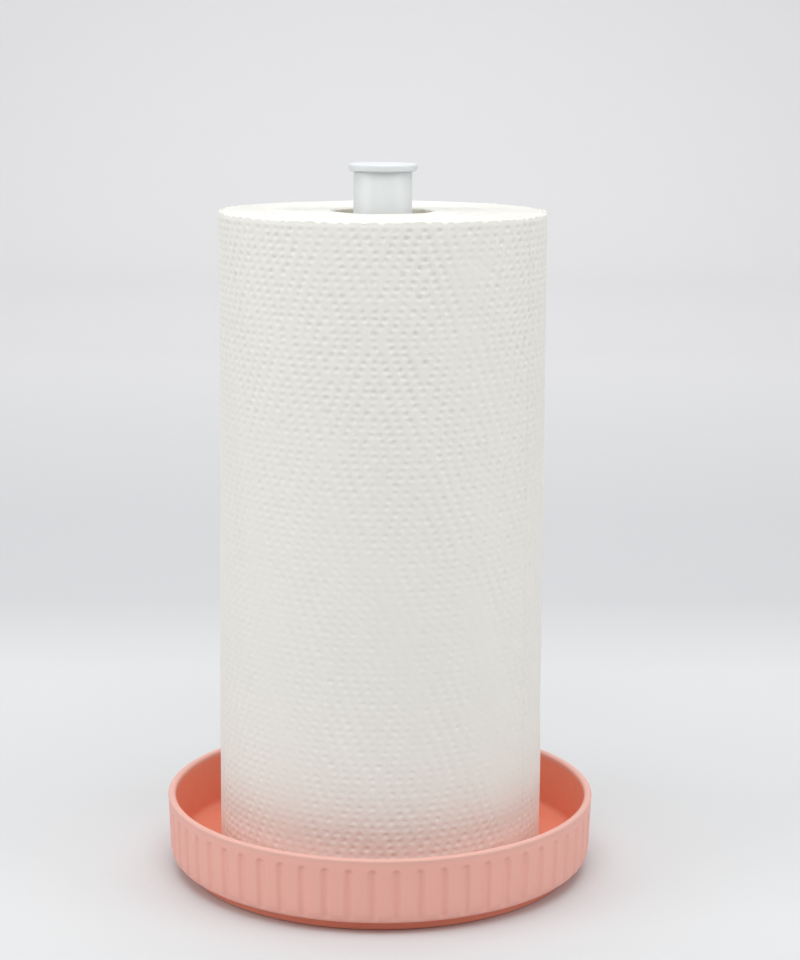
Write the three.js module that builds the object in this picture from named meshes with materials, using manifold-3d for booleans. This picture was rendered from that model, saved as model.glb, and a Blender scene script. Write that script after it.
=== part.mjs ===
// Free-standing paper towel holder with a full roll on it.
// Millimetres, +Z up. The origin is on the resting plane, under the centre of the foot.
// The front faces -Y; the roll's loose seam is at the back.
import * as THREE from 'three';
import { mergeVertices } from 'three/addons/utils/BufferGeometryUtils.js';
import Module from 'manifold-3d';

const wasm = await Module();
wasm.setup();

// ---- driving dimensions ----
const GAP = 0.3; // running and assembly clearance between neighbouring pieces

const RIM_R = 93.5; // tray, outer radius at the rim
const RIM_Z = 32.8; // tray, height of the rim
const WALL_FOOT_Z = 5.0; // the wall's lower edge floats this high
const WALL_LOW_R = 92.5; // tray, outer radius where the rounding of the lower edge begins
const WALL_LOW_Z = 10.4;
const RIM_THICK = 3.45;
const TRAY_FLOOR_Z = 8.1;
const TRAY_INNER_R = 88.4; // inner wall, just above the floor fillet
const TRAY_UNDER_Z = 6.0; // underside of the tray floor
const TRAY_SEGMENTS = 60;

const FLUTES = 60;
const FLUTE_PHASE = -1.8; // degrees from the front
const FLUTE_WIDTH = 2.6;
const FLUTE_DEPTH = 0.75;
const FLUTE_LOW_Z = 6.0;
const FLUTE_HIGH_Z = 28.4;

const FOOT_R = 84.0;
const FOOT_LOW_Z = 0.6;
const FOOT_PLATE = 1.8;
const FOOT_WALL = 2.4;
const FOOT_OPENING_R = 8.5;

const PAD_COUNT = 6;
const PAD_R = 6.0;
const PAD_RING_R = 72.0;
const PAD_THICK = 1.2;

const SCREW_COUNT = 4;
const SCREW_RING_R = 58.0;
const SCREW_R = 1.0;
const SCREW_HEAD_R = 3.0;
const BOSS_R = 4.0;

const BALLAST_R = 79.0;
const BALLAST_THICK = 3.0;
const BALLAST_BORE_R = 13.0;

const POST_R = 12.55;
const POST_WALL = 1.2;
const CAP_R = 14.9;
const CAP_THICK = 2.2;
const TOP_Z = 307.7;

const SOCKET_FLANGE_R = 18.6;
const SOCKET_FLANGE = 1.5;
const SOCKET_R = 15.9;
const SOCKET_TOP_Z = 24.0;

const BOLT_R = 2.85;
const BOLT_HEAD_R = 5.0;

const HUB_R = 20.0;
const HUB_RIB_R = 20.8;
const HUB_RIBS = 8;
const HUB_TOP_Z = 28.0;

const CORE_BORE_R = 21.24;
const CORE_WALL = 0.76;
const ROLL_R = 70.3;
const ROLL_HEIGHT = 279.4; // eleven inches
const SHEET_THICK = 0.8;
const SHEETS_AROUND = 3;
const SHEET_PHASE = 90; // degrees, one perforation lies at the back

// ---- derived dimensions ----
const POST_LOW_Z = TRAY_FLOOR_Z + GAP + SOCKET_FLANGE + GAP;
const POST_TOP_Z = TOP_Z - CAP_THICK - GAP;
const POST_BORE_R = POST_R - POST_WALL;
const ROLL_LOW_Z = TRAY_FLOOR_Z + GAP;
const ROLL_TOP_Z = ROLL_LOW_Z + ROLL_HEIGHT;
const PLATE_TOP_Z = FOOT_LOW_Z + FOOT_PLATE;

// ---- materials ----
function finish(color, roughness, metalness = 0) {
  return new THREE.MeshStandardMaterial({ color, roughness, metalness });
}
const pink = finish(0xf0a99c, 0.5);
const white = finish(0xf1f4f4, 0.35);
const innerWhite = finish(0xe6e6e2, 0.5);
const paper = finish(0xfaf8f2, 0.95);
const card = finish(0xb79f7c, 0.9);
const steel = finish(0x8f9498, 0.4, 0.9);
const rubber = finish(0x55504d, 0.85);
const felt = finish(0x8a8580, 1.0);

// ---- helpers ----
// Closed solid of revolution about Z from [radius, height] points.
function revolve(points, segments) {
  const profile = points.map(([r, z]) => new THREE.Vector2(r, z));
  profile.push(profile[0].clone());
  const geometry = new THREE.LatheGeometry(profile, segments);
  geometry.rotateX(Math.PI / 2);
  return geometry;
}

// Vertices joined by position, and triangles that have shrunk to a line left out.
function weld(geometry) {
  const plain = new THREE.BufferGeometry();
  plain.setAttribute('position', geometry.getAttribute('position').clone());
  const source = geometry.index ? Array.from(geometry.index.array) : null;
  plain.setIndex(source ?? Array.from({ length: plain.attributes.position.count }, (_, i) => i));
  const joined = mergeVertices(plain, 1e-4);
  const index = joined.index.array;
  const kept = [];
  for (let i = 0; i < index.length; i += 3) {
    const [a, b, c] = [index[i], index[i + 1], index[i + 2]];
    if (a !== b && b !== c && c !== a) kept.push(a, b, c);
  }
  joined.setIndex(kept);
  return joined;
}

function toManifold(geometry) {
  const joined = weld(geometry);
  const solid = new wasm.Manifold(new wasm.Mesh({
    numProp: 3,
    vertProperties: new Float32Array(joined.attributes.position.array),
    triVerts: new Uint32Array(joined.index.array),
  }));
  if (solid.volume() > 0) return solid;
  const flipped = joined.index.array.slice();
  for (let i = 0; i < flipped.length; i += 3) {
    [flipped[i + 1], flipped[i + 2]] = [flipped[i + 2], flipped[i + 1]];
  }
  return new wasm.Manifold(new wasm.Mesh({
    numProp: 3,
    vertProperties: new Float32Array(joined.attributes.position.array),
    triVerts: new Uint32Array(flipped),
  }));
}

function fromManifold(solid) {
  const mesh = solid.getMesh();
  const geometry = new THREE.BufferGeometry();
  const stride = mesh.numProp;
  const positions = [];
  for (let i = 0; i < mesh.vertProperties.length; i += stride) {
    positions.push(mesh.vertProperties[i], mesh.vertProperties[i + 1], mesh.vertProperties[i + 2]);
  }
  geometry.setAttribute('position', new THREE.Float32BufferAttribute(positions, 3));
  geometry.setIndex(Array.from(mesh.triVerts));
  return geometry;
}

function cut(body, tools) {
  let solid = toManifold(body);
  for (const tool of tools) solid = solid.subtract(toManifold(tool));
  return fromManifold(solid);
}

function join(body, additions) {
  let solid = toManifold(body);
  for (const addition of additions) solid = solid.add(toManifold(addition));
  return fromManifold(solid);
}

function piece(name, geometry, material) {
  const shaded = geometry.index ? geometry.toNonIndexed() : geometry;
  shaded.computeVertexNormals();
  const mesh = new THREE.Mesh(shaded, material);
  mesh.name = name;
  return mesh;
}

// Ring or disc standing on low, with small chamfers on its outer edges.
function ring(inner, outer, low, high, segments, chamfer = 0) {
  const points = [
    [inner, low],
    [outer - chamfer, low],
    [outer, low + chamfer],
    [outer, high - chamfer],
    [outer - chamfer, high],
    [inner, high],
  ];
  return revolve(chamfer > 0 ? points : [points[0], [outer, low], [outer, high], points[5]], segments);
}

function rod(radius, low, high, segments) {
  const geometry = new THREE.CylinderGeometry(radius, radius, high - low, segments);
  geometry.rotateX(Math.PI / 2);
  geometry.translate(0, 0, (low + high) / 2);
  return geometry;
}

function around(count, radius, phase, make) {
  return Array.from({ length: count }, (_, i) => {
    const angle = ((phase + (i * 360) / count) * Math.PI) / 180;
    const geometry = make();
    geometry.translate(radius * Math.cos(angle), radius * Math.sin(angle), 0);
    return geometry;
  });
}

// ---- tray ----
// One groove: a round-ended bar leaning with the drafted wall and dipping into it.
function fluteBar(index) {
  const half = FLUTE_WIDTH / 2;
  const barR = (half * half + FLUTE_DEPTH * FLUTE_DEPTH) / (2 * FLUTE_DEPTH);
  const slope = Math.atan2(RIM_R - 0.3 - WALL_LOW_R, RIM_Z - 2.2 - WALL_LOW_Z);
  const length = (FLUTE_HIGH_Z - FLUTE_LOW_Z) / Math.cos(slope) - 2 * half;
  const profile = [[0, -barR]];
  const bend = barR * Math.SQRT1_2;
  profile.push([bend, -bend], [barR, 0], [barR, length], [bend, length + bend], [0, length + barR]);
  const bar = revolve(profile, 8);
  bar.translate(0, 0, half);
  bar.rotateY(slope);
  const lowR = WALL_LOW_R + (FLUTE_LOW_Z - WALL_LOW_Z) * Math.tan(slope);
  bar.translate(lowR + (barR - FLUTE_DEPTH) / Math.cos(slope), 0, FLUTE_LOW_Z);
  bar.rotateZ(((index * 360) / FLUTES + FLUTE_PHASE - 90) * (Math.PI / 180));
  return bar;
}

function tray() {
  const shell = revolve([
    [BOLT_R + GAP + 0.15, TRAY_UNDER_Z],
    [FOOT_R + GAP, TRAY_UNDER_Z],
    [FOOT_R + GAP, WALL_FOOT_Z],
    [WALL_LOW_R - 2.8, WALL_FOOT_Z],
    [WALL_LOW_R - 1.9, WALL_FOOT_Z + 0.35],
    [WALL_LOW_R - 0.9, WALL_FOOT_Z + 1.5],
    [WALL_LOW_R - 0.25, WALL_FOOT_Z + 3.2],
    [WALL_LOW_R, WALL_LOW_Z],
    [RIM_R - 0.3, RIM_Z - 2.2],
    [RIM_R, RIM_Z - 1.4],
    [RIM_R - 0.15, RIM_Z - 0.6],
    [RIM_R - 0.7, RIM_Z - 0.1],
    [RIM_R - 1.5, RIM_Z],
    [RIM_R - 2.5, RIM_Z - 0.2],
    [RIM_R - 3.2, RIM_Z - 0.9],
    [RIM_R - RIM_THICK, RIM_Z - 1.8],
    [TRAY_INNER_R, TRAY_FLOOR_Z + 3.4],
    [TRAY_INNER_R - 0.3, TRAY_FLOOR_Z + 1.9],
    [TRAY_INNER_R - 1.2, TRAY_FLOOR_Z + 0.8],
    [TRAY_INNER_R - 2.6, TRAY_FLOOR_Z + 0.15],
    [TRAY_INNER_R - 3.9, TRAY_FLOOR_Z],
    [BOLT_R + GAP + 0.15, TRAY_FLOOR_Z],
  ], TRAY_SEGMENTS);
  const bossLow = PLATE_TOP_Z + GAP;
  const bosses = around(SCREW_COUNT, SCREW_RING_R, 45, () => rod(BOSS_R, bossLow, TRAY_UNDER_Z + 0.5, 16));
  const pilots = around(SCREW_COUNT, SCREW_RING_R, 45, () => rod(SCREW_R + GAP, 1, TRAY_UNDER_Z + 1.1, 10));
  const grooves = Array.from({ length: FLUTES }, (_, i) => fluteBar(i));
  return piece('tray', cut(join(shell, bosses), [...pilots, ...grooves]), pink);
}

// ---- foot ----
function footPan() {
  const pan = revolve([
    [FOOT_OPENING_R, FOOT_LOW_Z],
    [FOOT_R - 0.8, FOOT_LOW_Z],
    [FOOT_R, FOOT_LOW_Z + 0.8],
    [FOOT_R, TRAY_UNDER_Z - GAP],
    [FOOT_R - FOOT_WALL, TRAY_UNDER_Z - GAP],
    [FOOT_R - FOOT_WALL, PLATE_TOP_Z],
    [FOOT_OPENING_R, PLATE_TOP_Z],
  ], 72);
  const seat = () => revolve([
    [0, FOOT_LOW_Z - 0.4],
    [SCREW_HEAD_R + 0.9, FOOT_LOW_Z - 0.4],
    [SCREW_R + 0.5, PLATE_TOP_Z - 0.2],
    [SCREW_R + 0.5, PLATE_TOP_Z + 0.5],
    [0, PLATE_TOP_Z + 0.5],
  ], 12);
  const screwHoles = around(SCREW_COUNT, SCREW_RING_R, 45, seat);
  const pocketTop = PAD_THICK + GAP;
  const pockets = around(PAD_COUNT, PAD_RING_R, 0, () => rod(PAD_R + GAP + 0.1, 0, pocketTop, 20));
  return piece('foot_pan', cut(pan, [...screwHoles, ...pockets]), pink);
}

function pads() {
  return around(PAD_COUNT, PAD_RING_R, 0, () => revolve([
    [0, 0],
    [PAD_R - 0.4, 0],
    [PAD_R, 0.35],
    [PAD_R, PAD_THICK],
    [0, PAD_THICK],
  ], 20)).map((geometry, i) => piece(`pad_${i + 1}`, weld(geometry), rubber));
}

function footScrews() {
  const headLow = FOOT_LOW_Z + 0.15;
  const make = () => {
    const body = revolve([
      [0, headLow],
      [SCREW_HEAD_R, headLow],
      [SCREW_HEAD_R, headLow + 0.15],
      [SCREW_R, headLow + 1.5],
      [SCREW_R, TRAY_UNDER_Z],
      [0, TRAY_UNDER_Z + 0.8],
    ], 10);
    const slotA = new THREE.BoxGeometry(3.0, 0.6, 1.2);
    slotA.translate(0, 0, headLow);
    const slotB = new THREE.BoxGeometry(0.6, 3.0, 1.2);
    slotB.translate(0, 0, headLow);
    return cut(body, [slotA, slotB]);
  };
  return around(SCREW_COUNT, SCREW_RING_R, 45, make)
    .map((geometry, i) => piece(`foot_screw_${i + 1}`, geometry, steel));
}

function ballast() {
  const outline = new THREE.Shape();
  outline.absarc(0, 0, BALLAST_R, 0, Math.PI * 2, false);
  const holes = [[0, 0, BALLAST_BORE_R]];
  for (let i = 0; i < SCREW_COUNT; i += 1) {
    const angle = ((45 + (i * 360) / SCREW_COUNT) * Math.PI) / 180;
    holes.push([SCREW_RING_R * Math.cos(angle), SCREW_RING_R * Math.sin(angle), BOSS_R + 0.4]);
  }
  for (const [x, y, r] of holes) {
    const hole = new THREE.Path();
    hole.absarc(x, y, r, 0, Math.PI * 2, true);
    outline.holes.push(hole);
  }
  const options = { depth: BALLAST_THICK, bevelEnabled: false, curveSegments: 14 };
  const plate = new THREE.ExtrudeGeometry(outline, options);
  plate.translate(0, 0, PLATE_TOP_Z + GAP);
  return piece('ballast', weld(plate), steel);
}

// ---- post ----
function postSocket() {
  const low = TRAY_FLOOR_Z + GAP;
  const shelf = low + SOCKET_FLANGE;
  const bore = POST_R + GAP;
  return piece('post_socket', weld(revolve([
    [BOLT_R + GAP + 0.15, low],
    [SOCKET_FLANGE_R, low],
    [SOCKET_FLANGE_R, shelf],
    [SOCKET_R, shelf],
    [SOCKET_R, SOCKET_TOP_Z - 0.5],
    [SOCKET_R - 0.5, SOCKET_TOP_Z],
    [bore + 0.4, SOCKET_TOP_Z],
    [bore, SOCKET_TOP_Z - 0.4],
    [bore, shelf],
    [BOLT_R + GAP + 0.15, shelf],
  ], 36)), innerWhite);
}

function postTube() {
  return piece('post_tube', weld(ring(POST_BORE_R, POST_R, POST_LOW_Z, POST_TOP_Z, 40)), white);
}

function postInsert() {
  const r = POST_BORE_R - GAP;
  return piece('post_insert', weld(ring(BOLT_R + GAP, r, POST_LOW_Z, POST_LOW_Z + 18, 24, 0.6)), innerWhite);
}

function postCap() {
  const under = TOP_Z - CAP_THICK;
  const spigot = POST_BORE_R - GAP;
  return piece('post_cap', weld(revolve([
    [0, under - 0.4],
    [spigot - 2.0, under - 0.4],
    [spigot - 2.0, under - 16],
    [spigot - 0.6, under - 16],
    [spigot, under - 15.2],
    [spigot, under],
    [CAP_R - 0.6, under],
    [CAP_R - 0.1, under + 0.5],
    [CAP_R, under + 1.1],
    [CAP_R - 0.2, TOP_Z - 0.5],
    [CAP_R - 0.8, TOP_Z],
    [0, TOP_Z],
  ], 36)), white);
}

function centreBolt() {
  const headLow = 1.5;
  const headTop = 4.6;
  const body = revolve([
    [0, headLow],
    [BOLT_HEAD_R - 0.9, headLow],
    [BOLT_HEAD_R, headLow + 1.2],
    [BOLT_HEAD_R, headTop],
    [BOLT_R, headTop],
    [BOLT_R, 24.0],
    [BOLT_R - 0.6, 24.8],
    [0, 24.8],
  ], 16);
  const socket = rod(2.1, headLow - 0.5, headLow + 1.9, 6);
  return piece('centre_bolt', cut(body, [socket]), steel);
}

function boltWasher() {
  return piece('bolt_washer', weld(ring(BOLT_R + GAP, 9.0, 4.9, 5.7, 24)), steel);
}

// ---- turning hub ----
function hubWasher() {
  const low = POST_LOW_Z;
  return piece('hub_washer', weld(ring(SOCKET_R + GAP + 0.1, SOCKET_FLANGE_R - 0.3, low, low + 0.7, 30)), innerWhite);
}

function coreHub() {
  const low = POST_LOW_Z + 0.7 + GAP;
  const inner = SOCKET_R + GAP;
  const underPlate = HUB_TOP_Z - 2.8;
  const shell = revolve([
    [inner, low],
    [HUB_R - 0.5, low],
    [HUB_R, low + 0.5],
    [HUB_R, HUB_TOP_Z - 3.6],
    [HUB_R - 0.8, HUB_TOP_Z - 1.8],
    [HUB_R - 2.6, HUB_TOP_Z],
    [POST_R + GAP, HUB_TOP_Z],
    [POST_R + GAP, underPlate],
    [inner, underPlate],
  ], 40);
  const ribLength = HUB_TOP_Z - 5.5 - (low + 1);
  const ribs = Array.from({ length: HUB_RIBS }, (_, i) => {
    const rib = new THREE.BoxGeometry(1.6, 1.4, ribLength);
    rib.translate(HUB_RIB_R - 0.8, 0, low + 1 + ribLength / 2);
    rib.rotateZ((i * Math.PI * 2) / HUB_RIBS);
    return rib;
  });
  return piece('core_hub', join(shell, ribs), innerWhite);
}

function dragWasher() {
  const low = SOCKET_TOP_Z + GAP;
  return piece('drag_washer', weld(ring(POST_R + 0.55, SOCKET_R - 0.2, low, low + 0.6, 30)), felt);
}

function hubClip() {
  const inner = POST_R + GAP;
  const outer = 15.5;
  const from = 0.35;
  const to = Math.PI * 2 - 0.35;
  const outline = new THREE.Shape();
  outline.absarc(0, 0, outer, from, to, false);
  outline.absarc(0, 0, inner, to, from, true);
  const options = { depth: 1.2, bevelEnabled: false, curveSegments: 20 };
  const clip = new THREE.ExtrudeGeometry(outline, options);
  clip.translate(0, 0, HUB_TOP_Z + GAP);
  return piece('hub_clip', weld(clip), steel);
}

// ---- roll ----
function coreTube() {
  const low = ROLL_LOW_Z + 0.2;
  const outer = CORE_BORE_R + CORE_WALL;
  return piece('core_tube', weld(ring(CORE_BORE_R, outer, low, ROLL_TOP_Z - 0.5, 48)), card);
}

function rollPaper() {
  const inner = CORE_BORE_R + CORE_WALL + GAP;
  const outer = ROLL_R - SHEET_THICK - GAP;
  return piece('roll_paper', weld(ring(inner, outer, ROLL_LOW_Z, ROLL_TOP_Z, 72, 0.6)), paper);
}

function sheets() {
  const span = (Math.PI * 2) / SHEETS_AROUND;
  const slack = GAP / ROLL_R;
  const inner = ROLL_R - SHEET_THICK;
  return ['sheet_a', 'sheet_b', 'sheet_c'].map((name, i) => {
    const from = (SHEET_PHASE * Math.PI) / 180 + i * span + slack / 2;
    const to = from + span - slack;
    const outline = new THREE.Shape();
    outline.absarc(0, 0, ROLL_R, from, to, false);
    outline.absarc(0, 0, inner, to, from, true);
    const options = { depth: ROLL_HEIGHT - 1.2, bevelEnabled: false, curveSegments: 24 };
    const sheet = new THREE.ExtrudeGeometry(outline, options);
    sheet.translate(0, 0, ROLL_LOW_Z + 0.6);
    return piece(name, weld(sheet), paper);
  });
}

const group = new THREE.Group();
group.add(
  tray(),
  footPan(),
  ...pads(),
  ...footScrews(),
  ballast(),
  postSocket(),
  postTube(),
  postInsert(),
  postCap(),
  centreBolt(),
  boltWasher(),
  hubWasher(),
  coreHub(),
  dragWasher(),
  hubClip(),
  coreTube(),
  rollPaper(),
  ...sheets(),
);

export default group;
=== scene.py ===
import math

import bpy
import numpy as np
from mathutils import Matrix, Vector


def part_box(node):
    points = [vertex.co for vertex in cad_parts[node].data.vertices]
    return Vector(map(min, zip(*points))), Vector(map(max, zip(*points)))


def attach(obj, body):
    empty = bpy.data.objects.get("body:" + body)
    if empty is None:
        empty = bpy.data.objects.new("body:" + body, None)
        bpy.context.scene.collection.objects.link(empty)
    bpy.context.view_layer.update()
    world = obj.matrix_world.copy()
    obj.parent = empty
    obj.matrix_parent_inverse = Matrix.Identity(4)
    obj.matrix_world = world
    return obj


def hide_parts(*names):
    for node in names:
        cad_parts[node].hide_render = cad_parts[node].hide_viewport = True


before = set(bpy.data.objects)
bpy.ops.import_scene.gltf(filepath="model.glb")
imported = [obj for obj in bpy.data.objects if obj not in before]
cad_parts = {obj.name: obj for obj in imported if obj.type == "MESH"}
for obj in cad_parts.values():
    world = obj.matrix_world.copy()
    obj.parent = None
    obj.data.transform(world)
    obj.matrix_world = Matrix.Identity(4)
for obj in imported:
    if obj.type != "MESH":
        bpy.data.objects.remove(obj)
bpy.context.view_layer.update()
MM = 0.001
TURN = 2 * math.pi


def span(node):
    """A CAD node's outer radius, lowest and highest z, in millimetres."""
    low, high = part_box(node)
    return max(high.x, high.y) / MM, low.z / MM, high.z / MM


# ---- sizes read from the frame, in millimetres ----
RIM_R, _, RIM_Z = span("tray")
FOOT_R, FOOT_LOW, FOOT_HIGH = span("foot_pan")
POST_R, POST_LOW, POST_HIGH = span("post_tube")
CAP_R, CAP_LOW, CAP_TOP = span("post_cap")
SOCKET_R, SOCKET_LOW, SOCKET_TOP = span("post_socket")
_, HUB_LOW, HUB_TOP = span("core_hub")
_, CLIP_LOW, CLIP_HIGH = span("hub_clip")
CORE_R, CORE_LOW, CORE_TOP = span("core_tube")
_, ROLL_LOW, ROLL_TOP = span("roll_paper")
_, _, PAD_HIGH = span("pad_1")

# ---- driving sizes that the boxes don't give, in millimetres ----
ROLL_R = 70.3
FLOOR_Z = ROLL_LOW - 0.3
UNDER_Z = 6.0
WALL_LOW_Z = 5.0
FOOT_SEAT_R = 84.3
POST_FIT_R = 12.85
BOLT_HOLE_R = 4.3
SCREW_CIRCLE_R, PAD_CIRCLE_R = 58, 72


# ---- mesh helpers ----
def rounded(corners, closed=True, steps=5):
    """(r, z, fillet radius) corners to profile points, each corner turned into an arc."""
    points = []
    count = len(corners)
    for i, (r, z, fillet) in enumerate(corners):
        p = np.array([r, z], float)
        if fillet <= 0 or (not closed and i in (0, count - 1)):
            points.append(p)
            continue
        a = np.array(corners[i - 1][:2], float) - p
        b = np.array(corners[(i + 1) % count][:2], float) - p
        la, lb = np.linalg.norm(a), np.linalg.norm(b)
        a, b = a / la, b / lb
        half = math.acos(np.clip(a @ b, -1, 1)) / 2
        cut_back = min(fillet / math.tan(half), 0.49 * min(la, lb))
        radius = cut_back * math.tan(half)
        centre = p + (a + b) / np.linalg.norm(a + b) * radius / math.sin(half)
        s, e = p + a * cut_back - centre, p + b * cut_back - centre
        angle = math.acos(np.clip(s @ e / radius**2, -1, 1))
        for k in range(steps + 1):
            t = k / steps
            arc = math.sin((1 - t) * angle) * s + math.sin(t * angle) * e
            points.append(centre + arc / math.sin(angle))
    return np.array(points)


def linked(name, data):
    """A new object of the scene."""
    obj = bpy.data.objects.new(name, data)
    bpy.context.scene.collection.objects.link(obj)
    return obj


def shade(mesh, sharp=38):
    """Smooth shading that breaks at edges bent by more than a number of degrees."""
    mesh.polygons.foreach_set("use_smooth", np.ones(len(mesh.polygons), bool))
    mesh.set_sharp_from_angle(angle=math.radians(sharp))


def facing(verts, quads):
    """Above zero if the quads face outwards, below if they face inwards."""
    a, b, c, d = (verts[quads[:, k]] for k in range(4))
    return np.einsum("ij,ij->", a, np.cross(b, c) + np.cross(c, d))


def make(name, verts, quads, extra=(), sharp=38):
    """A mesh object from millimetre vertices, a quad array and any other faces, facing outwards."""
    verts = np.asarray(verts, float)
    quads = np.asarray(quads, int).reshape(-1, 4)
    if facing(verts, quads) < 0:
        quads = quads[:, ::-1]
        extra = [list(f)[::-1] for f in extra]
    mesh = bpy.data.meshes.new(name)
    mesh.from_pydata((verts * MM).tolist(), [], quads.tolist() + [list(f) for f in extra])
    shade(mesh, sharp)
    mesh.validate()
    return linked(name, mesh)


def angles(count):
    return np.arange(count) * TURN / count


def polar(r, theta, z):
    return np.stack([r * np.cos(theta), r * np.sin(theta), z], -1)


def grid_faces(levels, around, wrap_levels):
    """Quads of a grid that closes around, and along its levels too if wrap_levels."""
    i = np.arange(levels if wrap_levels else levels - 1)[:, None]
    j = np.arange(around)[None, :]
    i2, j2 = (i + 1) % levels, (j + 1) % around
    corners = [i * around + j, i * around + j2, i2 * around + j2, i2 * around + j]
    return np.stack(corners, -1).reshape(-1, 4)


def skin(name, r, theta, z, sharp):
    """A ring-shaped piece from rows of radius and height, one column for each angle."""
    verts = polar(r, np.broadcast_to(theta, r.shape), z).reshape(-1, 3)
    return make(name, verts, grid_faces(*r.shape, True), sharp=sharp)


def rows_of(profile, around):
    """A profile's radii and heights, repeated for each column around."""
    return np.repeat(profile[:, :1], around, 1), np.repeat(profile[:, 1:], around, 1)


def lathe(name, profile, around=128):
    """A turned piece. A profile that starts and ends on the axis is capped there."""
    profile = np.asarray(profile, float)
    solid = profile[0, 0] < 1e-6
    rings = profile[1:-1] if solid else profile
    r, z = rows_of(rings, around)
    verts = polar(r, np.broadcast_to(angles(around), r.shape), z).reshape(-1, 3)
    quads = grid_faces(len(rings), around, not solid)
    extra = []
    if solid:
        low, high = len(verts), len(verts) + 1
        verts = np.vstack([verts, [[0, 0, profile[0, 1]], [0, 0, profile[-1, 1]]]])
        last = (len(rings) - 1) * around
        for j in range(around):
            j2 = (j + 1) % around
            extra.append([j2, j, low])
            extra.append([last + j, last + j2, high])
    return make(name, verts, quads, extra)


def tube(name, inner, outer, low, high, fillet, around=96):
    return lathe(name, rounded([
        (inner, low, fillet), (outer, low, fillet), (outer, high, fillet), (inner, high, fillet),
    ], True, 3), around)


def block(name, sx, sy, low, high):
    """A box centred on the axis, used to cut slots."""
    x, y = sx / 2, sy / 2
    verts = [(i * x, j * y, k) for k in (low, high) for i, j in ((-1, -1), (1, -1), (1, 1), (-1, 1))]
    quads = [(0, 3, 2, 1), (4, 5, 6, 7), (0, 1, 5, 4), (1, 2, 6, 5), (2, 3, 7, 6), (3, 0, 4, 7)]
    return make(name, verts, quads)


def cut(obj, tools):
    """obj with the tools cut away; the tools are used up."""
    for tool in tools:
        mod = obj.modifiers.new("cut", "BOOLEAN")
        mod.operation, mod.solver, mod.object = "DIFFERENCE", "EXACT", tool
    bpy.context.view_layer.update()
    evaluated = obj.evaluated_get(bpy.context.evaluated_depsgraph_get())
    mesh = bpy.data.meshes.new_from_object(evaluated)
    obj.modifiers.clear()
    obj.data = mesh
    shade(mesh, 30)
    for tool in tools:
        bpy.data.objects.remove(tool)
    return obj


def merged(name, parts):
    """One object made of several separate closed shells; the parts are used up."""
    verts, faces = [], []
    for part in parts:
        base = len(verts)
        verts += [v.co[:] for v in part.data.vertices]
        faces += [[base + k for k in p.vertices] for p in part.data.polygons]
        bpy.data.objects.remove(part)
    mesh = bpy.data.meshes.new(name)
    mesh.from_pydata(verts, [], faces)
    shade(mesh)
    return linked(name, mesh)


def move(obj, x, y):
    obj.data.transform(Matrix.Translation((x * MM, y * MM, 0)))
    return obj


def spots(count, radius, start=0.0):
    """Points spaced evenly around a circle."""
    return [(radius * math.cos(start + a), radius * math.sin(start + a)) for a in angles(count)]


def hold(obj, body, node, material):
    """Puts a piece on its body, in place of a CAD node if one is named and material."""
    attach(obj, body)
    if node:
        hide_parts(node)
    obj.data.materials.clear()
    obj.data.materials.append(material)


def wander(x, y, seed, waves=9):
    """Smooth noise of about unit size over two coordinates; periodic in x over one turn."""
    draw = np.random.default_rng(seed)
    out = np.zeros(np.broadcast(x, y).shape)
    for _ in range(waves):
        k = draw.integers(1, 8)
        f = draw.uniform(0.2, 1.0)
        out = out + np.sin(k * x + f * y + draw.uniform(0, TURN)) / math.sqrt(waves / 2)
    return out


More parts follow.
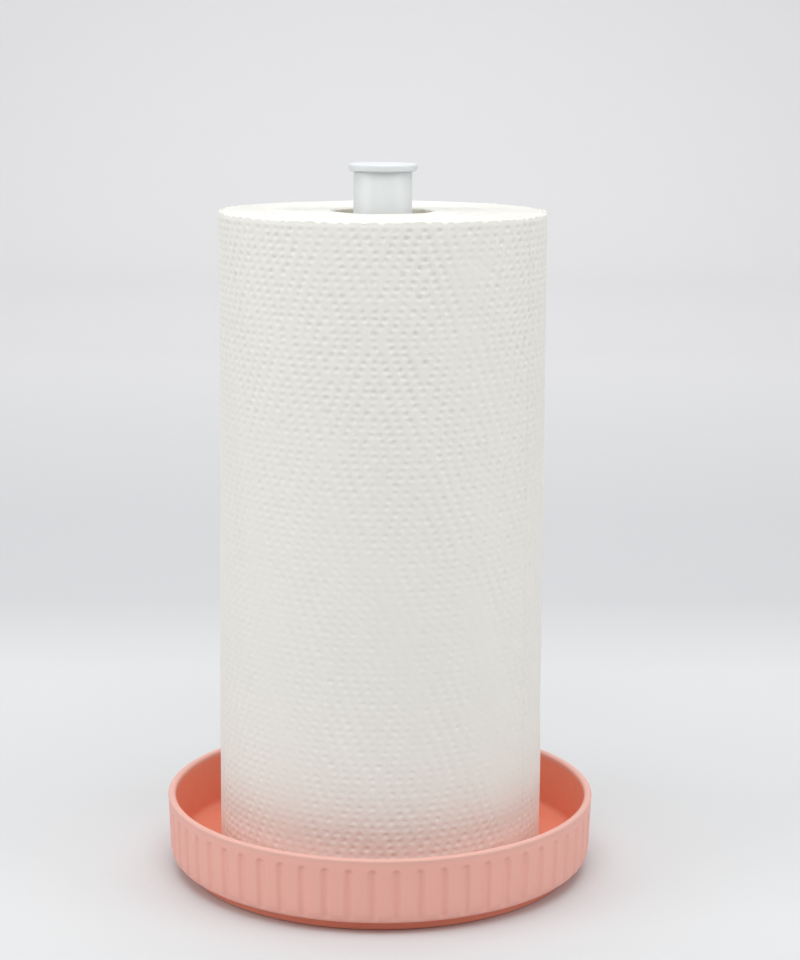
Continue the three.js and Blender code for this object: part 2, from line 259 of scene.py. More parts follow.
# ---- materials ----
class Look:
    """A Principled material and short ways to add procedural detail in object space."""

    def __init__(self, name, colour, rough, **sockets):
        self.material = bpy.data.materials.new(name)
        self.material.use_nodes = True
        self.tree = self.material.node_tree
        self.shader = self.tree.nodes["Principled BSDF"]
        self.colour = (*colour, 1.0)
        self.shader.inputs["Base Color"].default_value = self.colour
        self.shader.inputs["Roughness"].default_value = rough
        for key, value in sockets.items():
            self.shader.inputs[key.replace("_", " ")].default_value = value
        self.where = self.add("ShaderNodeTexCoord").outputs["Object"]
        self.normal = None

    def add(self, kind, **settings):
        node = self.tree.nodes.new(kind)
        for key, value in settings.items():
            setattr(node, key, value)
        return node

    def link(self, a, b):
        self.tree.links.new(a, b)

    def noise(self, scale, detail=3.0, rough=0.55, stretch=(1, 1, 1), warp=0.0):
        mapping = self.add("ShaderNodeMapping")
        mapping.inputs["Scale"].default_value = stretch
        self.link(self.where, mapping.inputs["Vector"])
        node = self.add("ShaderNodeTexNoise")
        node.inputs["Scale"].default_value = scale
        node.inputs["Detail"].default_value = detail
        node.inputs["Roughness"].default_value = rough
        node.inputs["Distortion"].default_value = warp
        self.link(mapping.outputs["Vector"], node.inputs["Vector"])
        return node.outputs["Fac"]

    def cells(self, scale, feature="F1"):
        node = self.add("ShaderNodeTexVoronoi", feature=feature)
        node.inputs["Scale"].default_value = scale
        self.link(self.where, node.inputs["Vector"])
        return node.outputs["Distance"]

    def rings(self, spacing, warp):
        """Rings about the vertical axis, a given spacing apart in metres."""
        node = self.add("ShaderNodeTexWave", wave_type="RINGS", rings_direction="Z")
        per_scale = 20  # radians of the wave for each unit of distance at a scale of 1
        node.inputs["Scale"].default_value = TURN / (per_scale * spacing)
        node.inputs["Distortion"].default_value = warp
        node.inputs["Detail Scale"].default_value = 0.2
        self.link(self.where, node.inputs["Vector"])
        return node.outputs["Fac"]

    def axis(self, letter):
        split = self.add("ShaderNodeSeparateXYZ")
        self.link(self.where, split.inputs[0])
        return split.outputs[letter]

    def radius(self, slope):
        """Distance from the vertical axis, less a share of the height, in metres."""
        flat = self.add("ShaderNodeVectorMath", operation="MULTIPLY")
        flat.inputs[1].default_value = (1, 1, 0)
        self.link(self.where, flat.inputs[0])
        size = self.add("ShaderNodeVectorMath", operation="LENGTH")
        self.link(flat.outputs["Vector"], size.inputs[0])
        less = self.add("ShaderNodeMath", operation="MULTIPLY_ADD")
        less.inputs[1].default_value = -slope
        self.link(self.axis("Z"), less.inputs[0])
        self.link(size.outputs["Value"], less.inputs[2])
        return less.outputs["Value"]

    def ramp(self, value, low, high, to_low, to_high):
        node = self.add("ShaderNodeMapRange")
        numbers = {"From Min": low, "From Max": high, "To Min": to_low, "To Max": to_high}
        for key, number in numbers.items():
            node.inputs[key].default_value = number
        self.link(value, node.inputs["Value"])
        return node.outputs["Result"]

    def tint(self, value, low, high, amount, colour):
        """Mixes the base colour towards another, from none at low to an amount at high."""
        node = self.add("ShaderNodeMix", data_type="RGBA")
        factor, before, after, mixed = node.inputs[0], node.inputs[6], node.inputs[7], node.outputs[2]
        socket = self.shader.inputs["Base Color"]
        if socket.is_linked:
            self.link(socket.links[0].from_socket, before)
        else:
            before.default_value = self.colour
        after.default_value = (*colour, 1.0)
        self.link(self.ramp(value, low, high, 0, amount), factor)
        self.link(mixed, socket)

    def roughness(self, value, smooth, rough):
        """Spreads the roughness between two values by a noise."""
        self.link(self.ramp(value, 0.3, 0.7, smooth, rough), self.shader.inputs["Roughness"])

    def bump(self, value, depth, strength):
        """Adds a bump of the given depth in metres."""
        node = self.add("ShaderNodeBump")
        node.inputs["Strength"].default_value = strength
        node.inputs["Distance"].default_value = depth
        self.link(value, node.inputs["Height"])
        if self.normal is not None:
            self.link(self.normal, node.inputs["Normal"])
        self.normal = node.outputs["Normal"]
        self.link(self.normal, self.shader.inputs["Normal"])


def pink_plastic():
    """Warm pink, with a painted reflection paling the tray's outer wall and a painted highlight on its rim.
    """
    look = Look("pink_plastic", (0.91, 0.30, 0.19), 0.46, Specular_IOR_Level=0.7)
    look.tint(look.noise(28, 4), 0.35, 0.7, 0.35, (0.88, 0.275, 0.17))
    look.tint(look.noise(900, 2), 0.55, 0.75, 0.18, (0.93, 0.35, 0.235))
    # painted reflection: the outer wall is paled towards white, standing in for the bright surroundings
    # reflected in it
    look.tint(look.radius(0.07), 0.0880, 0.0890, 0.9, (0.88, 0.46, 0.39))
    # painted highlight: the rim is paled from 30 mm up, where the top light falls on it
    look.tint(look.axis("Z"), 0.0300, 0.0322, 0.8, (0.80, 0.45, 0.385))
    look.roughness(look.noise(160, 5, 0.6), 0.44, 0.60)
    look.bump(look.noise(1500, 2), 0.00002, 0.35)
    look.bump(look.noise(60, 3), 0.0003, 0.12)
    return look.material


def white_paper(name, colour, fibre=1.0):
    """The Look of soft absorbent paper; fibre scales how deep its bumps are."""
    look = Look(name, colour, 0.95, Specular_IOR_Level=0.2, Sheen_Weight=0.25, Sheen_Roughness=0.5)
    look.tint(look.noise(35, 4), 0.35, 0.7, 0.4, [c * 0.985 for c in colour])
    look.tint(look.noise(2600, 3), 0.5, 0.8, 0.3, [c * 0.93 for c in colour])
    look.roughness(look.noise(700, 3), 0.88, 1.0)
    look.bump(look.noise(2400, 4, 0.65, (1, 1, 0.3), 0.6), 0.00012 * fibre, 0.6)
    look.bump(look.noise(620, 3, 0.6, (1, 1, 0.8), 0.8), 0.00025 * fibre, 0.5)
    return look


def paper_face():
    return white_paper("paper_face", (0.87, 0.855, 0.805)).material


def paper_edge():
    """The cut edges of the wound paper, with painted shade between turns."""
    look = white_paper("paper_edge", (0.89, 0.88, 0.84), 1.6)
    # painted shade: darker rings 1.12 mm apart stand in for shade in the gaps between turns
    look.tint(look.rings(0.00112, 1.5), 0.45, 0.0, 0.8, [c * 0.86 for c in look.colour[:3]])
    return look.material


def cardboard():
    look = Look("cardboard", (0.78, 0.745, 0.63), 0.9, Specular_IOR_Level=0.25)
    look.tint(look.noise(90, 5), 0.35, 0.7, 0.6, (0.82, 0.79, 0.68))
    look.tint(look.noise(1800, 2, 0.5, (1, 1, 0.25)), 0.55, 0.8, 0.6, (0.60, 0.55, 0.43))
    look.roughness(look.noise(400, 3), 0.82, 0.98)
    look.bump(look.noise(1400, 4, 0.6, (1, 1, 0.3)), 0.00008, 0.7)
    return look.material


def post_paint():
    look = Look("post_paint", (0.80, 0.83, 0.84), 0.34, Specular_IOR_Level=0.5)
    look.tint(look.noise(45, 4), 0.35, 0.7, 0.5, (0.78, 0.82, 0.82))
    look.tint(look.noise(1400, 2), 0.62, 0.8, 0.25, (0.73, 0.75, 0.75))
    look.roughness(look.noise(210, 4), 0.28, 0.42)
    look.bump(look.cells(750, "SMOOTH_F1"), 0.00003, 0.35)
    return look.material


def cap_plastic():
    look = Look("cap_plastic", (0.76, 0.795, 0.81), 0.36, Specular_IOR_Level=0.5)
    look.tint(look.noise(60, 4), 0.35, 0.7, 0.5, (0.735, 0.775, 0.79))
    look.roughness(look.noise(320, 4), 0.32, 0.44)
    look.bump(look.noise(1200, 2), 0.00001, 0.3)
    return look.material


def inner_plastic():
    look = Look("inner_plastic", (0.78, 0.78, 0.75), 0.45, Specular_IOR_Level=0.45)
    look.tint(look.noise(70, 4), 0.35, 0.7, 0.6, (0.73, 0.73, 0.69))
    look.roughness(look.noise(260, 4), 0.38, 0.56)
    look.bump(look.noise(1600, 3), 0.00003, 0.4)
    return look.material


def zinc_steel():
    look = Look("zinc_steel", (0.55, 0.56, 0.57), 0.35, Metallic=1.0)
    look.tint(look.noise(240, 5, 0.6), 0.35, 0.7, 0.8, (0.43, 0.44, 0.45))
    look.tint(look.cells(900), 0.2, 0.6, 0.3, (0.66, 0.66, 0.64))
    look.roughness(look.noise(500, 4, 0.6, (1, 1, 4)), 0.26, 0.5)
    look.bump(look.noise(1500, 3), 0.00003, 0.4)
    return look.material


def pad_rubber():
    look = Look("pad_rubber", (0.075, 0.07, 0.068), 0.85, Specular_IOR_Level=0.3)
    look.tint(look.noise(300, 4), 0.4, 0.7, 0.7, (0.12, 0.112, 0.105))
    look.roughness(look.noise(500, 3), 0.75, 0.95)
    look.bump(look.noise(1300, 3), 0.00008, 0.6)
    return look.material


def grey_felt():
    look = Look("grey_felt", (0.25, 0.235, 0.22), 1.0, Sheen_Weight=0.5, Sheen_Roughness=0.6)
    look.tint(look.noise(900, 4), 0.4, 0.7, 0.7, (0.36, 0.34, 0.32))
    look.roughness(look.noise(600, 3), 0.9, 1.0)
    look.bump(look.noise(2200, 4, 0.7), 0.0002, 0.8)
    return look.material


PINK = pink_plastic()
PAPER = paper_face()
PAPER_EDGE = paper_edge()
CARD = cardboard()
POST = post_paint()
CAP = cap_plastic()
INNER = inner_plastic()
STEEL = zinc_steel()
RUBBER = pad_rubber()
FELT = grey_felt()


# ---- tray ----
# A groove is at full depth within FLUTE_CORE of its middle line and ends FLUTE_EDGE from it.
WALL_FOOT, WALL_HEAD = (92.5, 10.4), (RIM_R - 0.3, RIM_Z - 2.2)
FLUTES = 60
FLUTE_PHASE = math.radians(-1.8 - 90)
FLUTE_LOW, FLUTE_HIGH = 5.4, 28.9
FLUTE_DEPTH = 1.0
FLUTE_CORE, FLUTE_EDGE = 0.35, 2.35
FLUTE_MESH = np.array([0, 0.3, 0.65, 1.0, 1.4, 1.8, 2.25, 2.8, 3.5])
FLUTE_HALF_PITCH = 4.8
MEAN_WALL_R = 92.0


def flute_depth(across, z):
    """How deep the moulded groove is at a distance across it and a height, in millimetres."""
    beyond = np.maximum(np.maximum(FLUTE_LOW + FLUTE_EDGE - z, z - (FLUTE_HIGH - FLUTE_EDGE)), 0)
    away = np.hypot(across, beyond)
    t = np.clip((away - FLUTE_CORE) / (FLUTE_EDGE - FLUTE_CORE), 0, 1)
    return FLUTE_DEPTH * 0.5 * (1 + np.cos(math.pi * t))


def outer_wall():
    """The near-vertical outside of the wall, with closer rows where the grooves run out."""
    dense_low, dense_high = 25.4, 29.6
    z = np.concatenate([
        np.linspace(WALL_FOOT[1], dense_low, 9),
        np.linspace(dense_low, dense_high, 14)[1:],
        [dense_high + 0.5],
    ])
    slope = (WALL_HEAD[0] - WALL_FOOT[0]) / (WALL_HEAD[1] - WALL_FOOT[1])
    return np.stack([WALL_FOOT[0] + (z - WALL_FOOT[1]) * slope, z], 1)


def tray_profile():
    under = [(BOLT_HOLE_R, UNDER_Z, 0), (FOOT_SEAT_R, UNDER_Z, 0), (FOOT_SEAT_R, WALL_LOW_Z, 0.2)]
    lower_edge = [
        (FOOT_SEAT_R, WALL_LOW_Z, 0), (89.9, WALL_LOW_Z, 1.2), (91.6, 6.5, 2.0), (92.3, 8.6, 2.5),
        (*WALL_FOOT, 0),
    ]
    rim = [
        (*WALL_HEAD, 0), (RIM_R + 0.02, RIM_Z - 0.02, 1.35), (RIM_R - 3.35, RIM_Z + 0.02, 1.75),
        (RIM_R - 3.55, RIM_Z - 2.6, 0),
    ]
    inside = [
        (RIM_R - 3.6, RIM_Z - 3.2, 0), (88.4, FLOOR_Z, 3.2), (80, FLOOR_Z, 0), (50, FLOOR_Z, 0),
        (BOLT_HOLE_R, FLOOR_Z, 0),
    ]
    profile = np.vstack([
        rounded(under, False), rounded(lower_edge, False), outer_wall(), rounded(rim, False, 7),
        rounded(inside, False, 8),
    ])
    apart = np.linalg.norm(np.diff(profile, axis=0), axis=1) > 1e-4
    return profile[np.concatenate([[True], apart])]


def tray_shell():
    across = np.concatenate([-FLUTE_MESH[:0:-1], FLUTE_MESH, [FLUTE_HALF_PITCH]])
    theta = np.concatenate([FLUTE_PHASE + a + across / MEAN_WALL_R for a in angles(FLUTES)])
    r, z = rows_of(tray_profile(), len(theta))
    fluted = (z[:, 0] > WALL_LOW_Z + 0.3) & (z[:, 0] < RIM_Z - 2) & (r[:, 0] > 90.6)
    r[fluted] -= flute_depth(np.tile(across, FLUTES)[None, :], z[fluted])
    return skin("tray_shell", r, theta, z, 50)


SCREW_SPOTS = spots(4, SCREW_CIRCLE_R, math.pi / 4)
PAD_SPOTS = spots(6, PAD_CIRCLE_R)

hold(tray_shell(), "stand", "tray", PINK)
bosses = [move(tube("boss", 1.3, 4.0, 2.7, UNDER_Z + 0.02, 0.25, 32), x, y) for x, y in SCREW_SPOTS]
hold(merged("tray_bosses", bosses), "stand", None, PINK)


# ---- foot ----
def foot_shell():
    """A pan with a flared skirt, a shallow ring on its underside, screw seats and pad pockets."""
    plate_top, wall, hole_r, skirt_z = 2.4, 2.4, 8.5, 0.2
    ring_z = FOOT_LOW + 0.35
    pan = lathe("foot_shell", rounded([
        (hole_r, FOOT_LOW, 0.3), (30, FOOT_LOW, 0), (31, ring_z, 0), (34, ring_z, 0), (35, FOOT_LOW, 0),
        (81.5, FOOT_LOW, 0.2), (82.2, skirt_z, 0.3), (FOOT_R + 1.1, skirt_z, 0.5), (FOOT_R, 4.6, 2.0),
        (FOOT_R, FOOT_HIGH, 0.4), (FOOT_R - wall, FOOT_HIGH, 0.4),
        (FOOT_R - wall, plate_top, 0.6), (hole_r, plate_top, 0.3),
    ], True, 4), 240)
    seat = rounded([(0, 0.2, 0), (3.9, 0.2, 0), (1.5, 2.2, 0), (1.5, 2.9, 0), (0, 2.9, 0)], False)
    pocket_top = PAD_HIGH + 0.3
    pocket = rounded([(0, 0.2, 0), (6.4, 0.2, 0), (6.4, pocket_top, 0.2), (0, pocket_top, 0)], False, 2)
    tools = [move(lathe("seat", seat, 40), x, y) for x, y in SCREW_SPOTS]
    tools += [move(lathe("pocket", pocket, 64), x, y) for x, y in PAD_SPOTS]
    return cut(pan, tools)


def pad(name):
    """A round pad with four fine ring grooves in its underside."""
    pad_r, groove = 6.0, 0.14
    corners = [(0, 0, 0)]
    for k in range(1, 5):
        r = k * 1.25
        corners += [(r - 0.25, 0, 0), (r, groove, 0), (r + 0.12, groove, 0), (r + 0.35, 0, 0)]
    corners += [(pad_r, 0, 0.3), (pad_r, PAD_HIGH, 0.15), (0, PAD_HIGH, 0)]
    return lathe(name, rounded(corners, False, 4), 64)


def foot_screw(name):
    slot_long, slot_wide = 3.1, 0.65
    body = lathe(name, rounded([
        (0, 0.75, 0), (3.0, 0.75, 0.08), (3.0, 0.95, 0.08), (1.0, 2.25, 0.3),
        (1.0, UNDER_Z, 0.2), (0, UNDER_Z + 0.8, 0),
    ], False, 3), 48)
    slots = [
        block("slot", slot_long, slot_wide, 0.4, 1.35), block("slot", slot_wide, slot_long, 0.4, 1.35),
    ]
    return cut(body, slots)


def centre_bolt():
    body = lathe("socket_bolt", rounded([
        (0, 1.5, 0), (4.4, 1.5, 0.9), (5.0, 2.9, 0.5), (5.0, 4.6, 0.15), (2.85, 4.6, 0.2),
        (2.85, 24.2, 0.3), (2.2, 24.8, 0.1), (0, 24.8, 0),
    ], False, 5), 64)
    return cut(body, [lathe("hex", [(0, 1.0), (2.1, 1.0), (2.1, 3.4), (0, 3.4)], 6)])


hold(foot_shell(), "stand", "foot_pan", PINK)
for i, (x, y) in enumerate(PAD_SPOTS, 1):
    hold(move(pad(f"foot_pad_{i}"), x, y), "stand", f"pad_{i}", RUBBER)
for i, (x, y) in enumerate(SCREW_SPOTS, 1):
    screw = move(foot_screw(f"countersunk_screw_{i}"), x, y)
    hold(screw, "stand", f"foot_screw_{i}", STEEL)
hold(centre_bolt(), "stand", "centre_bolt", STEEL)
hold(tube("flat_washer", 3.2, 9.0, 4.9, 5.7, 0.12, 96), "stand", "bolt_washer", STEEL)


# ---- post ----
def post_end_cap():
    """A hollow plug with a thin flange, whose lip reaches just over the end of the post."""
    plug_r, plug_bore_r, plug_floor = 11.05, 9.05, CAP_TOP - 2.6
    flange_low, lip_low, lip_r = CAP_TOP - 2.2, CAP_TOP - 3.1, 12.9
    return lathe("post_end_cap", rounded([
        (0, plug_floor, 0), (plug_bore_r, plug_floor, 0.8), (plug_bore_r, CAP_LOW, 0.3),
        (plug_r - 0.45, CAP_LOW, 0.3), (plug_r, CAP_LOW + 1.0, 0.4), (plug_r, flange_low, 0.2),
        (lip_r, flange_low, 0.1), (lip_r + 0.05, lip_low, 0.3), (CAP_R - 0.15, lip_low, 0.9),
        (CAP_R, CAP_TOP, 0.85), (12.6, CAP_TOP, 0.8), (11.8, CAP_TOP - 0.12, 0.6), (0, CAP_TOP - 0.05, 0),
    ], False, 7), 192)


def socket_ring():
    cup_r, plate_top = 15.9, SOCKET_LOW + 1.5
    return lathe("socket_ring", rounded([
        (3.3, SOCKET_LOW, 0.2), (SOCKET_R, SOCKET_LOW, 0.3), (SOCKET_R, plate_top, 0.4),
        (cup_r, plate_top, 0.3), (cup_r, SOCKET_TOP, 0.5), (POST_FIT_R, SOCKET_TOP, 0.4),
        (POST_FIT_R, plate_top, 0.2), (3.3, plate_top, 0.2),
    ], True, 4), 128)


def clip():
    """A split ring that grips the post above the hub."""
    half_gap, ring_r = 0.35, 15.5
    theta = np.linspace(half_gap, TURN - half_gap, 97)
    section = rounded([
        (POST_FIT_R, CLIP_LOW, 0.2), (ring_r, CLIP_LOW, 0.35), (ring_r, CLIP_HIGH, 0.35),
        (POST_FIT_R, CLIP_HIGH, 0.2),
    ], True, 4)
    n, m = len(section), len(theta)
    r = np.repeat(section[None, :, 0], m, 0)
    z = np.repeat(section[None, :, 1], m, 0)
    verts = polar(r, np.repeat(theta[:, None], n, 1), z).reshape(-1, 3)
    ends = [list(range(n))[::-1], list(range((m - 1) * n, m * n))]
    return make("retaining_clip", verts, grid_faces(m, n, False), ends)


sleeve = tube("post_sleeve", 11.35, POST_R, POST_LOW, POST_HIGH, 0.25, 160)
hold(sleeve, "stand", "post_tube", POST)
hold(post_end_cap(), "stand", "post_cap", CAP)
hold(socket_ring(), "stand", "post_socket", INNER)
slip = tube("slip_washer", 16.3, *span("hub_washer"), 0.12, 128)
hold(slip, "stand", "hub_washer", INNER)
felt = tube("felt_washer", 13.1, 15.7, *span("drag_washer")[1:], 0.15, 96)
hold(felt, "stand", "drag_washer", FELT)
hold(clip(), "stand", "hub_clip", STEEL)


# ---- turning hub ----
HUB_R, HUB_FIT_R = 20.0, 16.2
HUB_RIBS, RIB_HEIGHT, RIB_HALF = 8, 0.8, 0.75


def hub_profile():
    """The hub's section, with extra rows up the long outer face for the ribs."""
    corners = rounded([
        (HUB_FIT_R, HUB_LOW, 0.3), (HUB_R, HUB_LOW, 0.5), (HUB_R, HUB_TOP - 3.6, 1.5),
        (HUB_R - 0.8, HUB_TOP - 1.8, 1.2), (17.4, HUB_TOP, 0.6), (POST_FIT_R, HUB_TOP, 0.3),
        (POST_FIT_R, HUB_TOP - 2.8, 0.3), (HUB_FIT_R, HUB_TOP - 2.8, 0.5),
    ])
    points = []
    for a, b in zip(corners, np.roll(corners, -1, 0)):
        on_face = max(abs(a[0] - HUB_R), abs(b[0] - HUB_R)) < 0.1
        count = 14 if on_face and abs(a[1] - b[1]) > 4 else 1
        points += [a + (b - a) * k / count for k in range(count)]
    return np.array(points)


def hub():
    theta = angles(320)
    r, z = rows_of(hub_profile(), len(theta))
    outer = r[:, 0] > HUB_R - 1
    pitch = TURN / HUB_RIBS
    across = (np.mod(theta + pitch / 2, pitch) - pitch / 2) * HUB_R
    rib = RIB_HEIGHT * np.clip(1.5 - np.abs(across) / RIB_HALF, 0, 1) ** 0.7
    fade = np.clip((z - HUB_LOW - 0.8) / 0.8, 0, 1) * np.clip((HUB_TOP - 5.2 - z) / 1.6, 0, 1)
    r[outer] += (rib[None, :] * fade)[outer]
    return skin("turning_hub", r, theta, z, 35)


hold(hub(), "hub", "core_hub", INNER)


# ---- roll: core ----
CORE_WALL = 0.76
SPIRAL_LEAD = 92
SPIRAL_DEPTH = 0.16
CORE_END_ROUND = 0.12


def core():
    """The cardboard tube, with the spiral joint of its strip and slightly crushed ends."""
    z_rows = np.concatenate([
        [CORE_LOW, CORE_LOW + 0.15], np.linspace(CORE_LOW + 1, CORE_TOP - 1, 150),
        [CORE_TOP - 0.15, CORE_TOP],
    ])
    z, theta = np.meshgrid(z_rows, angles(144), indexing="ij")
    along = np.mod(z - theta / TURN * SPIRAL_LEAD, SPIRAL_LEAD)
    joint = np.exp(-((np.minimum(along, SPIRAL_LEAD - along) / 0.8) ** 2))
    end = np.minimum(z - CORE_LOW, CORE_TOP - z) < 0.1
    inwards = SPIRAL_DEPTH * joint + CORE_END_ROUND * end
    dents = 0.05 * wander(theta, z * 0.2, 5)
    z = z + CORE_END_ROUND * end * wander(theta * 5, 0, 6)
    outside = CORE_R - inwards + dents
    inside = CORE_R - CORE_WALL + inwards + dents
    r = np.concatenate([outside, inside[::-1]])
    return skin("card_core", r, theta[0], np.concatenate([z, z[::-1]]), 50)


hold(core(), "roll", "core_tube", CARD)


# ---- roll: wound paper, with the edge of every turn ----
WOUND_IN, WOUND_OUT = CORE_R + 0.1, ROLL_R - 1.3
WOUND_AROUND = 200


def end_face(pitch, base, sign, seed):
    """Rows of one end face: each turn is a narrow ridge with a groove before it."""
    theta = angles(WOUND_AROUND)
    count = int((WOUND_OUT - WOUND_IN - 0.8) / pitch)
    tall = np.random.default_rng(seed).normal(0, 0.14, count)
    groove = (0.0, -0.34, 0.0)
    ridge = ((0.36, 0.04, 0.5), (0.66, 0.0, 0.5))
    rows = []
    for k in range(count):
        start = WOUND_IN + 0.4 + k * pitch
        sway = 0.16 * wander(theta, k * 0.11, seed + 1, 7)
        lift = tall[k] + 0.16 * wander(theta, k * 0.35, seed + 2, 9)
        for part, height, share in (groove, *ridge):
            rows.append((start + part * pitch + sway, base + sign * (height - 0.12 + share * lift)))
    return rows


def windings():
    """The wound paper. Its side has a shallow waist, so that the embossed turn clears it."""
    bottom = [(r, np.maximum(z, ROLL_LOW)) for r, z in end_face(1.12, ROLL_LOW, -1, 31)]
    side = [
        (WOUND_OUT - 0.25, ROLL_LOW + 0.35), (WOUND_OUT, ROLL_LOW + 0.8), (WOUND_OUT - 1.0, ROLL_LOW + 3.5),
        (WOUND_OUT - 1.0, ROLL_TOP - 3.5), (WOUND_OUT, ROLL_TOP - 0.8), (WOUND_OUT - 0.2, ROLL_TOP - 0.45),
    ]
    top = end_face(0.56, ROLL_TOP, 1, 21)[::-1]
    bore = [(WOUND_IN, ROLL_TOP - 0.7), (WOUND_IN, ROLL_LOW + 0.7)]
    rows = bottom + side + top + bore
    r = np.array([np.broadcast_to(row[0], WOUND_AROUND) for row in rows])
    z = np.array([np.broadcast_to(row[1], WOUND_AROUND) for row in rows])
    return skin("wound_paper", r, angles(WOUND_AROUND), z, 180)


hold(windings(), "roll", "roll_paper", PAPER_EDGE)


# ---- roll: the embossed outermost turn, three perforated sheets ----
# u runs along the paper and v up it, in millimetres. Dots lie where rows, DOT_ROW apart, cross rings
# around the centres of cells of CELL_W by CELL_H, one of which is at (CELL_U, CELL_V).
AROUND_MM = TURN * ROLL_R
CELL_W, CELL_H = AROUND_MM / 11, 90.9
CELL_U, CELL_V = 17.0, 50.0
RINGS = 4
DOT_ROW = CELL_H / 31
DOT_PITCH = CELL_W / (2 * RINGS)
DOT_WIDE, DOT_TALL = 1.15, 0.80
DOT_UNEVEN = 0.24
DOT_REACH = 4
EMBOSS_TOP, EMBOSS_LOW, EMBOSS_FOOT = 0.72, 0.26, 0.25
ROWS_PER_DOT = 4
SHEETS = {"towel_sheet_a": "sheet_a", "towel_sheet_b": "sheet_b", "towel_sheet_c": "sheet_c"}
SHEET_STEPS = 245
TURN_RISE = 0.42
SHEET_BACK_R = 69.05


def ring_phase(u, v):
    """Which concentric rounded diamond a point is on, from one family of centres to the other."""
    def reach(cu, cv):
        du = np.mod(u - cu + CELL_W / 2, CELL_W) - CELL_W / 2
        dv = np.mod(v - cv + CELL_H / 2, CELL_H) - CELL_H / 2
        return (np.abs(du * 2 / CELL_W) ** 1.25 + np.abs(dv * 2 / CELL_H) ** 1.25) ** 0.8

    a = reach(CELL_U, CELL_V)
    b = reach(CELL_U + CELL_W / 2, CELL_V + CELL_H / 2)
    return a / (a + b) * 2 * RINGS


def dots_in_row(v):
    """Where the dots of one row lie: on the rings, none crowded and no gap left open."""
    fine = np.arange(0, AROUND_MM, 0.04)
    crossed = np.nonzero(np.diff(np.floor(ring_phase(fine, v) - 1e-6)))[0]
    kept = []
    for s in fine[crossed].tolist():
        if kept and s - kept[-1] < 0.6 * DOT_PITCH:
            kept[-1] = (kept[-1] + s) / 2
        else:
            kept.append(s)
    filled = []
    for a, b in zip(kept, kept[1:] + [kept[0] + AROUND_MM]):
        extra = max(int(round((b - a) / DOT_PITCH)) - 1, 0) if b - a > 1.5 * DOT_PITCH else 0
        filled += [a + (b - a) * k / (extra + 1) for k in range(extra + 1)]
    return np.array(filled)


def emboss_map(columns, rows, row_step):
    """How far the pattern is pressed in over the whole turn, rows by columns, 0 to about 1."""
    pressed = np.zeros((rows, columns))
    column_step = AROUND_MM / columns
    draw = np.random.default_rng(3)
    nearby = range(-DOT_REACH, DOT_REACH + 1)
    for k in range(-1, int(rows * row_step / DOT_ROW) + 2):
        v = k * DOT_ROW
        dots = dots_in_row(v)
        dots = dots + draw.normal(0, DOT_UNEVEN, len(dots))
        power = np.clip(draw.normal(1.0, DOT_UNEVEN, len(dots)), 0.4, 1.4)
        centre = dots / column_step
        for row in (int(round(v / row_step)) + i for i in nearby):
            if not 0 <= row < rows:
                continue
            dv = row * row_step - v
            for i in nearby:
                column = np.floor(centre).astype(int) + i
                du = (column - centre) * column_step
                mark = power * np.exp(-((du / DOT_WIDE) ** 2) - (dv / DOT_TALL) ** 2)
                np.maximum.at(pressed[row], np.mod(column, columns), mark)
    return pressed


def outer_turn():
    """Length, height and radius over the outermost turn, and its wavy top edge."""
    height = ROLL_TOP - ROLL_LOW
    rows = int(height / (DOT_ROW / ROWS_PER_DOT))
    around = SHEET_STEPS * len(SHEETS)
    u_row = np.arange(around) * AROUND_MM / around
    v_row = np.linspace(0, height, rows)
    pressed = emboss_map(around, rows, height / (rows - 1))
    u, v = np.meshgrid(u_row, v_row)
    theta = u / ROLL_R
    spiral = np.mod(theta - math.pi, TURN) / TURN
    soft = 0.16 * wander(theta, v * 0.035, 41, 10) + 0.05 * wander(theta * 4, v * 0.14, 42, 10)
    top = np.clip(1 - (height - v) / 3.2, 0, 1)
    low = np.clip(1 - v / 2.2, 0, 1)
    worn = np.clip(1.15 - 0.35 * np.clip(wander(theta * 2, v * 0.05, 43, 8), 0, 2), 0.55, 1.1)
    rub_u, rub_v = u - 41, v - 262
    rub = np.exp(-((rub_u / 13) ** 2) - (rub_v / 11) ** 2)
    crease = rub * np.exp(-(((rub_v + 0.55 * rub_u) / 1.6) ** 2))
    faded = (1 - 0.7 * rub) * (1 - 0.85 * top) * (1 - 0.7 * low)
    deep = EMBOSS_LOW + (EMBOSS_TOP - EMBOSS_LOW) * np.clip((v - 110) / 150, 0, 1)
    deep = deep + EMBOSS_FOOT * np.clip(1 - v / 40, 0, 1)
    r = ROLL_R + 0.12 - TURN_RISE * (1 - spiral) + soft
    r = r - deep * pressed * worn * faded - 0.35 * top**2 - 0.3 * low**2 - 0.15 * crease
    lip = 0.18 * wander(theta[0] * 3, 0, 44, 9) + 0.22 * wander(theta[0] * 17, 0, 45, 12)
    return u_row, v_row, r, lip


def sheet_faces(index, u, v, r, lip):
    """Front and back points of one sheet of the turn, with ragged perforations at its ends."""
    first = int((index + 1.5) * SHEET_STEPS)
    columns = (np.arange(SHEET_STEPS + 1) + first) % len(u)
    front_r = r[:, columns]
    if index == len(SHEETS) - 1:  # the loose end runs on straight
        front_r[:, -1] = 2 * front_r[:, -2] - front_r[:, -3]
    ragged = 0.03 + 0.06 * (np.arange(len(v)) % ROWS_PER_DOT == 0)
    theta = np.repeat(np.unwrap(u[columns] / ROLL_R - math.pi / 2)[None, :], len(v), 0)
    theta[:, 0] += ragged / ROLL_R
    theta[:, -1] -= ragged / ROLL_R
    z = ROLL_LOW + np.repeat(v[:, None], len(columns), 1)
    z[-1] += lip[columns] - 0.45
    z[-2] += 0.5 * lip[columns] - 0.2
    z[0] += 0.15
    return polar(front_r, theta, z), polar(np.minimum(SHEET_BACK_R, front_r - 0.2), theta, z)


